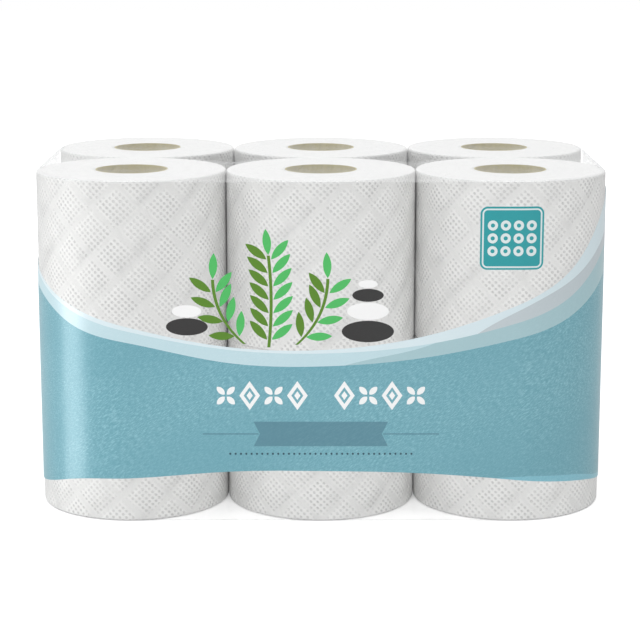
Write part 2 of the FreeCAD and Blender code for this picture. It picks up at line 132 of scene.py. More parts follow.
def parts_of(tree, vector):
    node = tree.nodes.new("ShaderNodeSeparateXYZ")
    tree.links.new(vector, node.inputs[0])
    return node.outputs


def noise(tree, vector, scale, detail=2.0, stretch=None, slant=0.0):
    """Noise, drawn out along each axis by stretch once the first axis is slanted upwards."""
    if stretch:
        mapping = tree.nodes.new("ShaderNodeMapping")
        mapping.vector_type = "TEXTURE"
        mapping.inputs["Scale"].default_value = stretch
        mapping.inputs["Rotation"].default_value = (0, -math.radians(slant), 0)
        tree.links.new(vector, mapping.inputs["Vector"])
        vector = mapping.outputs["Vector"]
    node = tree.nodes.new("ShaderNodeTexNoise")
    node.inputs["Scale"].default_value = scale
    node.inputs["Detail"].default_value = detail
    tree.links.new(vector, node.inputs["Vector"])
    return node.outputs["Fac"]


def blend_colours(tree, share, first, second):
    node = tree.nodes.new("ShaderNodeMix")
    node.data_type = "RGBA"
    tree.links.new(share, node.inputs["Factor"])
    for socket, colour in ((node.inputs[6], first), (node.inputs[7], second)):
        if isinstance(colour, bpy.types.NodeSocket):
            tree.links.new(colour, socket)
        else:
            socket.default_value = colour
    return node.outputs[2]


def raise_surface(tree, shader, height, depth):
    node = tree.nodes.new("ShaderNodeBump")
    node.inputs["Strength"].default_value = 1.0
    node.inputs["Distance"].default_value = depth
    tree.links.new(height, node.inputs["Height"])
    tree.links.new(node.outputs["Normal"], shader.inputs["Normal"])


def quilted_paper():
    material, tree, shader = plain_material("quilted_paper", 0.95)
    shader.inputs["Specular IOR Level"].default_value = 0.0
    here = place_in_object(tree)
    x, y, z = parts_of(tree, here)
    column = step(tree, "ROUND", step(tree, "DIVIDE", x, COLUMN_PITCH))
    across = step(tree, "WRAP", x, COLUMN_PITCH / 2, -COLUMN_PITCH / 2)
    along = step(tree, "SUBTRACT", step(tree, "WRAP", y, COLUMN_PITCH, 0.0), COLUMN_PITCH / 2)
    height = step(tree, "WRAP", step(tree, "SUBTRACT", z, LOWEST_PAPER), LAYER_PITCH, 0.0)
    angle = step(tree, "ARCTAN2", along, across)
    turns = step(tree, "MULTIPLY_ADD", angle, QUILT_ROUND / (2 * math.pi),
                 step(tree, "MULTIPLY", column, COLUMN_SHIFT))
    levels = step(tree, "DIVIDE", height, QUILT_HEIGHT)
    away = quilt_line_distance(tree, turns, levels)
    ragged = step(tree, "MULTIPLY_ADD", noise(tree, here, 130, 2), 0.006,
                  step(tree, "SUBTRACT", away, 0.003))
    inside_diamond = ease(tree, ragged, 0.0, PIT_MARGIN * 1.7, 0, 1)
    # Pits stand in two grids, the second set half a step aside from the first, and each is a
    # little longer down to the right
    pit = None
    for shift in (0.0, 0.5):
        spot = []
        for value in (turns, levels):
            scaled = step(tree, "MULTIPLY_ADD", value, PITS_PER_DIAMOND, shift)
            spot.append(step(tree, "SUBTRACT", step(tree, "FRACT", scaled), 0.5))
        lengthwise = step(tree, "MULTIPLY", step(tree, "SUBTRACT", *spot), 0.63)
        crosswise = step(tree, "MULTIPLY", step(tree, "ADD", *spot), 0.78)
        reach = step(tree, "SQRT", step(tree, "ADD", step(tree, "POWER", lengthwise, 2.0),
                                        step(tree, "POWER", crosswise, 2.0)))
        pit = reach if pit is None else step(tree, "MINIMUM", pit, reach)
    pit = step(tree, "MULTIPLY", ease(tree, pit, 0.08, 0.3, 1, 0), inside_diamond)
    # The pits are painted darker, as shade in their hollows, more in some patches than in others
    pit_shade_patches = noise(tree, here, 60, 3)
    pit_painted_shade = step(tree, "MULTIPLY", pit, ease(tree, pit_shade_patches, 0.3, 0.7, 0.45, 1.0))
    # The pressed channels are painted a little darker than the paper, as shade in their hollows
    paper = blend_colours(tree, inside_diamond, PAPER_CHANNEL_SHADE, PAPER_WHITE)
    # Painted shade in patches: the colour darkens on the lower right of each diamond, standing in
    # for the shade where the sheet rolls over
    lee_shade = step(tree, "FRACT", step(tree, "SUBTRACT", turns, levels))
    lee_shade = step(tree, "MULTIPLY", ease(tree, lee_shade, 0.45, 0.86, 0, 1),
               ease(tree, lee_shade, 0.87, 1.0, 1, 0))
    broad = noise(tree, here, 55, 2)
    crease_and_painted_shade = step(tree, "MULTIPLY", lee_shade, ease(tree, broad, 0.38, 0.72, 0.06, 0.5))
    paper = blend_colours(tree, crease_and_painted_shade, paper, PAPER_LEE_SHADE)
    colour = blend_colours(tree, pit_painted_shade, paper, PAPER_PIT_SHADE)
    tree.links.new(colour, shader.inputs["Base Color"])
    fibre = noise(tree, here, 1400, 3)
    relief = step(tree, "MULTIPLY_ADD", fibre, 0.15, step(tree, "MULTIPLY", pit, -1.0))
    raise_surface(tree, shader, step(tree, "MULTIPLY_ADD", broad, 5.0, relief), 0.0004)
    return material


def sawn_paper():
    material, tree, shader = plain_material("sawn_paper", 0.95)
    here = place_in_object(tree)
    x, y, z = parts_of(tree, here)
    across = step(tree, "WRAP", x, COLUMN_PITCH / 2, -COLUMN_PITCH / 2)
    along = step(tree, "SUBTRACT", step(tree, "WRAP", y, COLUMN_PITCH, 0.0), COLUMN_PITCH / 2)
    radius = step(tree, "SQRT", step(tree, "ADD", step(tree, "POWER", across, 2.0),
                                     step(tree, "POWER", along, 2.0)))
    rings = tree.nodes.new("ShaderNodeTexNoise")
    rings.noise_dimensions = "1D"
    rings.inputs["Scale"].default_value = 900
    rings.inputs["Detail"].default_value = 3
    tree.links.new(radius, rings.inputs["W"])
    fluff = noise(tree, here, 260, 4)
    darker = (PAPER_END[0] * 0.93, PAPER_END[1] * 0.93, PAPER_END[2] * 0.93, 1)
    share = step(tree, "MULTIPLY", rings.outputs["Fac"], fluff)
    tree.links.new(blend_colours(tree, ease(tree, share, 0.15, 0.4, 0, 1), PAPER_END, darker),
                   shader.inputs["Base Color"])
    raise_surface(tree, shader, step(tree, "ADD", rings.outputs["Fac"], fluff), 0.00012)
    return material


def lathe_mesh(name, profile, columns):
    """A ring with the given closed profile of (radius, height), its faces outwards."""
    angles = np.arange(columns) * 2 * math.pi / columns
    radius = np.array([point[0] for point in profile])[:, None]
    height = np.array([point[1] for point in profile])[:, None]
    corners = np.stack([radius * np.cos(angles), radius * np.sin(angles),
                        height + 0 * angles], axis=-1).reshape(-1, 3)
    faces = []
    for ring in range(len(profile)):
        following = (ring + 1) % len(profile)
        for column in range(columns):
            beside = (column + 1) % columns
            faces.append((ring * columns + column, ring * columns + beside,
                          following * columns + beside, following * columns + column))
    mesh = bpy.data.meshes.new(name)
    mesh.from_pydata(corners.tolist(), [], faces)
    mesh.polygons.foreach_set("use_smooth", [True] * len(faces))
    mesh.update()
    return mesh


def roll_profile():
    """From the bore's foot out over the bottom end, up the side and back over the top end."""
    end_radii = np.linspace(ROLL_BORE, ROLL_RADIUS - RIM_ROUND, 15)
    sag = [0, 4, 1, 5, 2, 6, 1, 5, 0, 4, 2, 5, 1, 2, 0]
    lower = [(radius, 0.00002 * low) for radius, low in zip(end_radii, sag)]
    rim = [(ROLL_RADIUS - RIM_ROUND + RIM_ROUND * math.sin(turn),
            RIM_ROUND - RIM_ROUND * math.cos(turn)) for turn in np.radians((22.5, 45, 67.5))]
    side = [(ROLL_RADIUS, height)
            for height in np.linspace(RIM_ROUND, ROLL_HEIGHT - RIM_ROUND, ROLL_ROWS)]
    upper = [(radius, ROLL_HEIGHT - height) for radius, height in reversed(lower + rim)]
    bore = [(ROLL_BORE, height) for height in np.linspace(ROLL_HEIGHT, 0, 5)[1:-1]]
    return lower + rim + side + upper + bore


def socket_for(tree, name, kind, value=None):
    entry = tree.interface.new_socket(name, in_out="INPUT", socket_type=kind)
    if value is not None:
        entry.default_value = value
    return entry.identifier


def quilt_press():
    """Presses the quilt's channels into the side of a roll and gives each face its paper."""
    tree = bpy.data.node_groups.new("quilt_press", "GeometryNodeTree")
    keys = {"Geometry": socket_for(tree, "Geometry", "NodeSocketGeometry")}
    for name, value in (("Radius", ROLL_RADIUS), ("Height", ROLL_HEIGHT),
                        ("Diamonds round", QUILT_ROUND), ("Diamond height", QUILT_HEIGHT),
                        ("Channel half width", CHANNEL_HALF), ("Channel depth", CHANNEL_DEPTH),
                        ("Unevenness", 0.0004), ("Shift", 0.0), ("Seed", 0.0)):
        keys[name] = socket_for(tree, name, "NodeSocketFloat", value)
    tree.interface.new_socket("Geometry", in_out="OUTPUT", socket_type="NodeSocketGeometry")
    given = tree.nodes.new("NodeGroupInput").outputs
    position = tree.nodes.new("GeometryNodeInputPosition").outputs[0]
    x, y, z = parts_of(tree, position)
    radius = step(tree, "SQRT", step(tree, "ADD", step(tree, "POWER", x, 2.0),
                                     step(tree, "POWER", y, 2.0)))
    angle = step(tree, "ARCTAN2", y, x)
    turns = step(tree, "ADD", given["Shift"], step(
        tree, "MULTIPLY", step(tree, "DIVIDE", angle, 2 * math.pi), given["Diamonds round"]))
    levels = step(tree, "DIVIDE", z, given["Diamond height"])
    away = quilt_line_distance(tree, turns, levels)
    channel = ease(tree, away, 0.0, given["Channel half width"], 1, 0)
    crown = ease(tree, away, 0.0, QUILT_LINE_GAP / 2, 1, 0)
    pressed = step(tree, "MULTIPLY_ADD", channel, 0.4, step(tree, "MULTIPLY", crown, 0.6))
    pressed = step(tree, "MULTIPLY", pressed, given["Channel depth"])
    bumps = tree.nodes.new("ShaderNodeTexNoise")
    bumps.noise_dimensions = "4D"
    bumps.inputs["Scale"].default_value = 45
    tree.links.new(given["Seed"], bumps.inputs["W"])
    pressed = step(tree, "MULTIPLY_ADD", bumps.outputs[0], given["Unevenness"], pressed)
    on_side = ease(tree, step(tree, "SUBTRACT", given["Radius"], radius), 0.0, 0.0004, 1, 0)
    from_end = step(tree, "MINIMUM", z, step(tree, "SUBTRACT", given["Height"], z))
    # Rolls side by side squeeze each other smooth, until hardly a gap is left between them
    touching = ease(tree, step(tree, "DIVIDE", step(tree, "ABSOLUTE", x), radius),
                    0.955, 0.995, 0, 1)
    pressed = step(tree, "MULTIPLY", pressed, step(tree, "SUBTRACT", 1.0, touching))
    pressed = step(tree, "MULTIPLY_ADD", touching, -TOUCH_SWELL, pressed)
    pressed = step(tree, "MULTIPLY", step(tree, "MULTIPLY", pressed, on_side),
                   ease(tree, from_end, 0.0008, 0.004, 0, 1))
    shrink = step(tree, "SUBTRACT", 1.0, step(tree, "DIVIDE", pressed, given["Radius"]))
    moved = tree.nodes.new("ShaderNodeCombineXYZ")
    for socket, value in zip(moved.inputs, (step(tree, "MULTIPLY", x, shrink),
                                            step(tree, "MULTIPLY", y, shrink), z)):
        tree.links.new(value, socket)
    put = tree.nodes.new("GeometryNodeSetPosition")
    tree.links.new(given["Geometry"], put.inputs["Geometry"])
    tree.links.new(moved.outputs[0], put.inputs["Position"])
    real = tree.nodes.new("GeometryNodeRealizeInstances")
    tree.links.new(put.outputs[0], real.inputs[0])
    whole = tree.nodes.new("GeometryNodeSetMaterial")
    whole.inputs["Material"].default_value = bpy.data.materials["quilted_paper"]
    tree.links.new(real.outputs[0], whole.inputs["Geometry"])
    facing = parts_of(tree, tree.nodes.new("GeometryNodeInputNormal").outputs[0])[2]
    is_end = step(tree, "GREATER_THAN", step(tree, "ABSOLUTE", facing), 0.8)
    ends = tree.nodes.new("GeometryNodeSetMaterial")
    ends.inputs["Material"].default_value = bpy.data.materials["sawn_paper"]
    tree.links.new(whole.outputs[0], ends.inputs["Geometry"])
    tree.links.new(is_end, ends.inputs["Selection"])
    out = tree.nodes.new("NodeGroupOutput")
    tree.links.new(ends.outputs[0], out.inputs[0])
    return tree, keys


def made_by(tree, keys, name, mesh, **values):
    """Runs the tree on a mesh and returns the result as a plain mesh."""
    holder = bpy.data.objects.new(name + "_blank", mesh)
    bpy.context.scene.collection.objects.link(holder)
    maker = holder.modifiers.new(tree.name, "NODES")
    maker.node_group = tree
    for label, value in values.items():
        maker[keys[label.replace("_", " ").capitalize()]] = value
    shaped = bpy.data.meshes.new_from_object(
        holder.evaluated_get(bpy.context.evaluated_depsgraph_get()))
    holder.modifiers.remove(maker)
    bpy.data.objects.remove(holder)
    shaped.name = name
    return shaped


def piece_from(name, mesh):
    piece = bpy.data.objects.new(name, mesh)
    bpy.context.scene.collection.objects.link(piece)
    return piece


quilted_paper()
sawn_paper()
press, press_keys = quilt_press()
roll_blank = lathe_mesh("roll_blank", roll_profile(), ROLL_COLUMNS)
for number, place in enumerate(PLACES):
    low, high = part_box("roll_" + place)
    middle = (low + high) / 2
    column = round(middle.x / COLUMN_PITCH)
    mesh = made_by(press, press_keys, "paper_" + place, roll_blank,
                   shift=column * COLUMN_SHIFT, seed=float(number))
    corners = np.zeros(len(mesh.vertices) * 3)
    mesh.vertices.foreach_get("co", corners)
    corners = corners.reshape(-1, 3) + (middle.x, middle.y, low.z)
    mesh.vertices.foreach_set("co", corners.ravel())
    mesh.update()
    paper = piece_from("paper_" + place, mesh)
    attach(paper, "root")
    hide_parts("roll_" + place)


# ---- Card cores ----
# Each core is two strips of grey-brown card, wound in a spiral, glued and cut to the roll's
# length. The strip's butt joint shows as a line that climbs round the inside.
CARD_BROWN = (0.52, 0.445, 0.165, 1)
CARD_DARK = (0.39, 0.33, 0.115, 1)
CARD_CLIMB = 0.075


def wound_card():
    material, tree, shader = plain_material("wound_card", 0.85)
    here = place_in_object(tree)
    x, y, z = parts_of(tree, here)
    across = step(tree, "WRAP", x, COLUMN_PITCH / 2, -COLUMN_PITCH / 2)
    along = step(tree, "SUBTRACT", step(tree, "WRAP", y, COLUMN_PITCH, 0.0), COLUMN_PITCH / 2)
    angle = step(tree, "ARCTAN2", along, across)
    climb = step(tree, "ADD", step(tree, "DIVIDE", angle, 2 * math.pi),
                 step(tree, "DIVIDE", z, CARD_CLIMB))
    joint = ease(tree, step(tree, "PINGPONG", climb, 0.5), 0.0, 0.012, 1, 0)
    fibre = noise(tree, here, 500, 4, stretch=(1, 1, 4))
    share = step(tree, "MULTIPLY_ADD", joint, 0.6, ease(tree, fibre, 0.35, 0.7, 0, 0.5))
    tree.links.new(blend_colours(tree, share, CARD_BROWN, CARD_DARK), shader.inputs["Base Color"])
    raise_surface(tree, shader, step(tree, "SUBTRACT", fibre, joint), 0.00015)
    return material


card = wound_card()
for place in PLACES:
    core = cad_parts["core_" + place]
    core.data.materials.clear()
    core.data.materials.append(card)


# ---- Film bag ----
# One tube of clear, glossy polythene film, pulled over the rolls and shrunk tight. It spans the
# grooves between the columns in flat panels and dips a little over the cores and gaps.
FILM_HALF_WIDTH = 0.1686
FILM_HALF_DEPTH = 0.11245
FILM_CORNER = 0.0563
FILM_LOW = 0.00015
FILM_HIGH = 0.2007
FILM_RIM = 0.0014
FILM_WALL_RINGS = 56
FILM_GAP_DIP = 0.0035
FILM_CORE_DIP = 0.0012
FILM_JOIN = 0.00013
FILM_TINT = (0.69, 0.71, 0.72, 1)


def pack_outline(inset, long_steps=40, short_steps=28, corner_steps=30):
    """The pack's outline, this far in from the film, as points that go round to the left."""
    half_width, half_depth = FILM_HALF_WIDTH - inset, FILM_HALF_DEPTH - inset
    corner = max(FILM_CORNER - inset, 0.0)
    points = []
    for index, (side_x, side_y, steps) in enumerate(
            ((1, -1, short_steps), (1, 1, long_steps), (-1, 1, short_steps),
             (-1, -1, long_steps))):
        start = math.radians(-90 + 90 * index)
        for turn in start + np.linspace(0, math.pi / 2, corner_steps, endpoint=False):
            points.append((side_x * (half_width - corner) + corner * math.cos(turn),
                           side_y * (half_depth - corner) + corner * math.sin(turn)))
        last = start + math.pi / 2
        here = np.array((side_x * (half_width - corner) + corner * math.cos(last),
                         side_y * (half_depth - corner) + corner * math.sin(last)))
        next_x, next_y = ((1, 1), (-1, 1), (-1, -1), (1, -1))[index]
        there = np.array((next_x * (half_width - corner) + corner * math.cos(last),
                          next_y * (half_depth - corner) + corner * math.sin(last)))
        for share in np.linspace(0, 1, steps, endpoint=False):
            points.append(tuple(here + (there - here) * share))
    return np.array(points)


def film_dip(x, y, inset):
    """How far the film sinks where no roll carries it."""
    across = (x + COLUMN_PITCH / 2) % COLUMN_PITCH - COLUMN_PITCH / 2
    along = y % COLUMN_PITCH - COLUMN_PITCH / 2
    radius = np.hypot(across, along)
    over_gap = np.clip((radius - 0.054) / 0.02, 0, 1) ** 2 * FILM_GAP_DIP
    over_core = np.clip(1 - (radius / 0.021) ** 2, 0, 1) * FILM_CORE_DIP
    return (over_gap + over_core) * np.clip(inset / 0.02, 0, 1)


def skin_mesh():
    rings = []
    insets = [0.1124, 0.108] + list(np.linspace(0.104, 0.004, 26))
    insets += [FILM_RIM - FILM_RIM * math.sin(turn) for turn in np.radians((0, 30, 60))]
    lower = []
    for inset in insets:
        points = pack_outline(inset)
        rim_rise = FILM_RIM - math.sqrt(max(FILM_RIM ** 2 - max(FILM_RIM - inset, 0) ** 2, 0))
        lower.append((points, rim_rise + film_dip(points[:, 0], points[:, 1], inset)))
    for points, rise in lower:
        rings.append(np.column_stack([points, FILM_LOW + rise]))
    wall = pack_outline(0)
    for height in np.linspace(FILM_LOW + FILM_RIM, FILM_HIGH - FILM_RIM, FILM_WALL_RINGS):
        rings.append(np.column_stack([wall, np.full(len(wall), height)]))
    for points, rise in reversed(lower):
        rings.append(np.column_stack([points, FILM_HIGH - rise]))
    columns = len(wall)
    faces = []
    for ring in range(len(rings) - 1):
        for column in range(columns):
            beside = (column + 1) % columns
            faces.append((ring * columns + column, ring * columns + beside,
                          (ring + 1) * columns + beside, (ring + 1) * columns + column))
    mesh = bpy.data.meshes.new("film_skin")
    mesh.from_pydata(np.concatenate(rings).tolist(), [], faces)
    mesh.polygons.foreach_set("use_smooth", [True] * len(faces))
    # The film is drawn tightest, and so most hazy, where it turns over the upper and lower edges
    level = np.concatenate(rings)[:, 2]
    near_rim = np.clip(1 - np.minimum(level - FILM_LOW, FILM_HIGH - level) / FILM_RIM, 0, 1)
    inset_of = np.repeat(insets + [0] * FILM_WALL_RINGS + insets[::-1], columns)
    rim = mesh.attributes.new("rim", "FLOAT", "POINT")
    rim.data.foreach_set("value", near_rim * np.clip(1 - inset_of / 0.003, 0, 1))
    # The innermost rings shrink to lines, and their meeting points are joined into closed film
    joined = bmesh.new()
    joined.from_mesh(mesh)
    bmesh.ops.remove_doubles(joined, verts=joined.verts, dist=FILM_JOIN)
    bmesh.ops.recalc_face_normals(joined, faces=joined.faces)
    joined.to_mesh(mesh)
    joined.free()
    mesh.update()
    return mesh


def clear_film(name, haze, crease_haze):
    """Film that is hazy where it is creased and mirrors more the flatter it is looked along."""
    material, tree, shader = plain_material(name, 0.18)
    here = place_in_object(tree)
    shader.inputs["Base Color"].default_value = FILM_TINT
    shader.inputs["Specular IOR Level"].default_value = 1.0
    # Only the cover's share of the film shows, so its gloss is made as much stronger
    shader.inputs["Coat Weight"].default_value = 1.0
    shader.inputs["Coat IOR"].default_value = 3.2
    shader.inputs["Coat Roughness"].default_value = 0.16
    broad = noise(tree, here, 70, 2, stretch=(1, 1.6, 7), slant=18)
    fine = noise(tree, here, 140, 3, stretch=(1, 1, 4), slant=25)
    crease_and_painted_shade = ease(tree, step(tree, "ABSOLUTE", step(tree, "SUBTRACT", broad, 0.5)),
                  0.0, 0.05, 1, 0)
    rim = tree.nodes.new("ShaderNodeAttribute")
    rim.attribute_name = "rim"
    facing = tree.nodes.new("ShaderNodeLayerWeight")
    facing.inputs["Blend"].default_value = 0.5
    glance = step(tree, "POWER", facing.outputs["Facing"], 4.0)
    cover = step(tree, "MULTIPLY_ADD", crease_and_painted_shade, crease_haze, haze)
    cover = step(tree, "MULTIPLY_ADD", rim.outputs["Fac"], 0.25, cover)
    cover = step(tree, "MULTIPLY_ADD", glance, 0.42, cover)
    raise_surface(tree, shader, step(tree, "MULTIPLY_ADD", fine, 0.12, broad), 0.0005)
    clear = tree.nodes.new("ShaderNodeBsdfTransparent")
    both = tree.nodes.new("ShaderNodeMixShader")
    tree.links.new(cover, both.inputs["Fac"])
    tree.links.new(clear.outputs[0], both.inputs[1])
    tree.links.new(shader.outputs[0], both.inputs[2])
    tree.links.new(both.outputs[0], tree.nodes["Material Output"].inputs["Surface"])
    return material


def sheet_between(name, points, rim_steps=0):
    """A sheet through a grid of points; its outer steps are marked as its rim."""
    rows, columns = points.shape[:2]
    faces = [(row * columns + column, row * columns + column + 1,
              (row + 1) * columns + column + 1, (row + 1) * columns + column)
             for row in range(rows - 1) for column in range(columns - 1)]
    mesh = bpy.data.meshes.new(name)
    mesh.from_pydata(points.reshape(-1, 3).tolist(), [], faces)
    mesh.polygons.foreach_set("use_smooth", [True] * len(faces))
    row, column = np.indices((rows, columns))
    near = np.minimum(np.minimum(column, columns - 1 - column), rows - 1 - row)
    rim = mesh.attributes.new("rim", "FLOAT", "POINT")
    rim.data.foreach_set("value", (near < rim_steps).astype(float).ravel())
    mesh.update()
    return mesh


skin = piece_from("film_skin", skin_mesh())
skin.data.materials.append(clear_film("clear_film", 0.04, 0.05))
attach(skin, "root")
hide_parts("film_wrap")


# ---- End folds and seams ----
# The film's open ends are folded like an envelope, a flap from the top and one from the bottom,
# and a short crimped strip seals them. A longer crimped lap joins the film along the back.
FLAP_FACE = 0.1692
FLAP_TOP = 0.1994
FLAP_MEET = 0.1004
FLAP_WIDE_HALF = 0.05315
FLAP_TIP_HALF = 0.012
PACK_HEIGHT = 0.20085
SEAL_FACE = 0.1694
SEAL_HALF_LENGTH = 0.0199
SEAL_HALF_HEIGHT = 0.0089
LAP_FACE = 0.1128
LAP_HALF_LENGTH = 0.1121
LAP_LOW = 0.0082
LAP_HIGH = 0.0178
CRIMP_PITCH = 0.0018


def flap_mesh(name, side, is_upper):
    path = [(0.1650, 0.20081), (0.1672, 0.20070), (0.16868, 0.19995), (0.1691, 0.1990)]
    path += [(FLAP_FACE, height) for height in np.linspace(0.1980, FLAP_MEET, 44)]
    across = np.linspace(-1, 1, 41)
    rows = []
    for out, height in path:
        share = min(max((height - FLAP_MEET) / (FLAP_TOP - FLAP_MEET), 0), 1)
        half = FLAP_TIP_HALF + (FLAP_WIDE_HALF - FLAP_TIP_HALF) * share
        along = across * half
        fan = np.arctan2(FLAP_TOP - height + 0.002, FLAP_WIDE_HALF - np.abs(along) + 0.004)
        ripple = np.sin(34 * fan) * 0.00009 * min((FLAP_TOP - height + 0.002) / 0.03, 1)
        if height > 0.1981:
            ripple = 0 * along
        level = height if is_upper else PACK_HEIGHT - height
        rows.append(np.column_stack([side * (out + ripple), along, np.full(41, level)]))
    points = np.array(rows)
    if (side > 0) == is_upper:
        points = points[:, ::-1]
    return sheet_between(name, points, 1)


def crimp_press():
    """Lays fine ribs side by side across a strip that runs along X and stands on Z."""
    tree = bpy.data.node_groups.new("crimp_press", "GeometryNodeTree")
    keys = {"Geometry": socket_for(tree, "Geometry", "NodeSocketGeometry")}
    for name, value in (("Half length", 0.02), ("Half height", 0.009), ("Pitch", CRIMP_PITCH),
                        ("Rib radius", 0.0002)):
        keys[name] = socket_for(tree, name, "NodeSocketFloat", value)
    tree.interface.new_socket("Geometry", in_out="OUTPUT", socket_type="NodeSocketGeometry")
    given = tree.nodes.new("NodeGroupInput").outputs
    half_run = step(tree, "SUBTRACT", given["Half length"], given["Pitch"])
    steps = step(tree, "FLOOR", step(tree, "DIVIDE", step(tree, "MULTIPLY", half_run, 2.0),
                                     given["Pitch"]))
    line = tree.nodes.new("GeometryNodeMeshLine")
    line.mode = "OFFSET"
    tree.links.new(step(tree, "ADD", steps, 1.0), line.inputs["Count"])
    start, offset = (tree.nodes.new("ShaderNodeCombineXYZ") for _ in range(2))
    tree.links.new(step(tree, "MULTIPLY", step(tree, "MULTIPLY", steps, given["Pitch"]), -0.5),
                   start.inputs[0])
    tree.links.new(given["Pitch"], offset.inputs[0])
    tree.links.new(start.outputs[0], line.inputs["Start Location"])
    tree.links.new(offset.outputs[0], line.inputs["Offset"])
    rib = tree.nodes.new("GeometryNodeMeshCylinder")
    rib.inputs["Vertices"].default_value = 8
    tree.links.new(given["Rib radius"], rib.inputs["Radius"])
    tree.links.new(step(tree, "MULTIPLY", given["Half height"], 1.8), rib.inputs["Depth"])
    place = tree.nodes.new("GeometryNodeInstanceOnPoints")
    tree.links.new(line.outputs[0], place.inputs["Points"])
    tree.links.new(rib.outputs["Mesh"], place.inputs["Instance"])
    together = tree.nodes.new("GeometryNodeJoinGeometry")
    tree.links.new(place.outputs[0], together.inputs[0])
    tree.links.new(given["Geometry"], together.inputs[0])
    real = tree.nodes.new("GeometryNodeRealizeInstances")
    tree.links.new(together.outputs[0], real.inputs[0])
    finish = tree.nodes.new("GeometryNodeSetMaterial")
    finish.inputs["Material"].default_value = bpy.data.materials["folded_film"]
    tree.links.new(real.outputs[0], finish.inputs["Geometry"])
    out = tree.nodes.new("NodeGroupOutput")
    tree.links.new(finish.outputs[0], out.inputs[0])
    return tree, keys


def crimped_strip(name, half_length, half_height, turn, middle):
    """A crimped strip, made facing -Y and then turned about Z and moved into place."""
    along, up = np.meshgrid(np.linspace(-1, 1, 41), np.linspace(-1, 1, 9))
    flat = np.stack([along * half_length, 0 * along, up * half_height], axis=-1)
    mesh = made_by(crimps, crimp_keys, name, sheet_between(name + "_flat", flat, 1),
                   half_length=half_length, half_height=half_height)
    corners = np.zeros(len(mesh.vertices) * 3)
    mesh.vertices.foreach_get("co", corners)
    corners = corners.reshape(-1, 3)
    turned = np.column_stack([
        corners[:, 0] * math.cos(turn) - corners[:, 1] * math.sin(turn),
        corners[:, 0] * math.sin(turn) + corners[:, 1] * math.cos(turn), corners[:, 2]])
    mesh.vertices.foreach_set("co", (turned + middle).ravel())
    mesh.update()
    return piece_from(name, mesh)


folded = clear_film("folded_film", 0.16, 0.09)
folds = []
for side_name, side in (("left", -1), ("right", 1)):
    for level_name, is_upper in (("top", True), ("bottom", False)):
        name = "flap_%s_%s" % (level_name, side_name)
        flap = piece_from(name, flap_mesh(name, side, is_upper))
        flap.data.materials.append(folded)
        folds.append(flap)
crimps, crimp_keys = crimp_press()
for side_name, side in (("left", -1), ("right", 1)):
    folds.append(crimped_strip("seal_" + side_name, SEAL_HALF_LENGTH, SEAL_HALF_HEIGHT,
                               side * math.pi / 2, (side * SEAL_FACE, 0, PACK_HEIGHT / 2)))
folds.append(crimped_strip("back_lap", LAP_HALF_LENGTH, (LAP_HIGH - LAP_LOW) / 2, math.pi,
                           (0, LAP_FACE, (LAP_HIGH + LAP_LOW) / 2)))
for fold in folds:
    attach(fold, "root")


# ---- Print ----
# Inks printed on the outside of the film: a waved blue band with paler stripes along its top, a
# badge, a ribbon, a row of white figures and a leafy plant between two piles of pebbles.
INK_GLOSS = 0.3
# Painted shade, mixed into every ink towards the right end
INK_PAINTED_SHADE = (0.12, 0.2, 0.22, 1)


def ink(name, colour, streak, brushed):
    """An ink on glossy film, with fine strokes that slant up to the right and shallow folds."""
    material, tree, shader = plain_material(name, INK_GLOSS)
    here = place_in_object(tree)
    strokes = noise(tree, here, 1850, 3, stretch=(5, 1.8, 0.8), slant=35)
    grain = noise(tree, here, 1700, 2)
    patches = noise(tree, here, 20, 3, stretch=(2.5, 2, 1), slant=25)
    share = step(tree, "MULTIPLY", ease(tree, strokes, 0.42, 0.69, 0, 0.95),
                 ease(tree, patches, 0.35, 0.7, 0.4, 1.0))
    share = step(tree, "MULTIPLY_ADD", ease(tree, grain, 0.42, 0.72, 0, 1), 0.4, share)
    share = step(tree, "MULTIPLY", share, brushed)
    colour = blend_colours(tree, share, colour, streak)
    # Painted shade: the print darkens a little towards the right end, standing in for the light
    # falling off there
    right_end_shade = ease(tree, parts_of(tree, here)[0], 0.0, 0.168, 0, 0.13)
    tree.links.new(blend_colours(tree, right_end_shade, colour, INK_PAINTED_SHADE), shader.inputs["Base Color"])
    folds = noise(tree, here, 30, 2, stretch=(2.4, 1, 1), slant=25)
    raise_surface(tree, shader, step(tree, "MULTIPLY_ADD", strokes, 0.12, folds), 0.0004)
    return material


def from_screen(red, green, blue):
    """A colour given as it looks on a screen, 0 to 255, as the shader wants it."""
    return tuple(((value / 255 + 0.055) / 1.055) ** 2.4 for value in (red, green, blue)) + (1,)


INKS = {
    "print_band_blue": ((104, 164, 179), (150, 202, 213), 0.85),
    "print_band_hem": ((127, 191, 208), (168, 218, 230), 0.7),
    "print_stripe_light": ((196, 224, 232), (218, 238, 244), 0.4),
    "print_stripe_teal": ((170, 203, 210), (188, 217, 223), 0.4),
    "print_stripe_pale": ((223, 239, 245), (234, 245, 250), 0.3),
    "print_stripe_grey": ((199, 209, 214), (214, 222, 227), 0.3),
    "print_badge": ((22, 158, 165), (46, 175, 182), 0.3),
    "print_badge_marks": ((232, 242, 242), (244, 249, 249), 0.3),
    "print_ribbon": ((90, 140, 156), (112, 160, 175), 0.4),
    "print_figures": ((252, 253, 253), (240, 245, 247), 0.2),
    "print_dots": ((40, 78, 92), (58, 94, 107), 0.3),
    "print_leaves_dark": ((86, 134, 26), (104, 150, 46), 0.3),
    "print_leaves_light": ((76, 190, 98), (98, 204, 118), 0.3),
    "print_pebbles_dark": ((44, 43, 43), (58, 58, 58), 0.3),
    "print_pebbles_white": ((253, 253, 253), (243, 246, 248), 0.2),
}
for node_name, (colour, streak, brushed) in INKS.items():
    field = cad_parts[node_name]
    field.data.materials.clear()
    field.data.materials.append(
        ink(node_name + "_ink", from_screen(*colour), from_screen(*streak), brushed))
    # The thin ink lets light through to the paper, so it throws no hard shade on it
    field.visible_shadow = False
    field.visible_diffuse = False


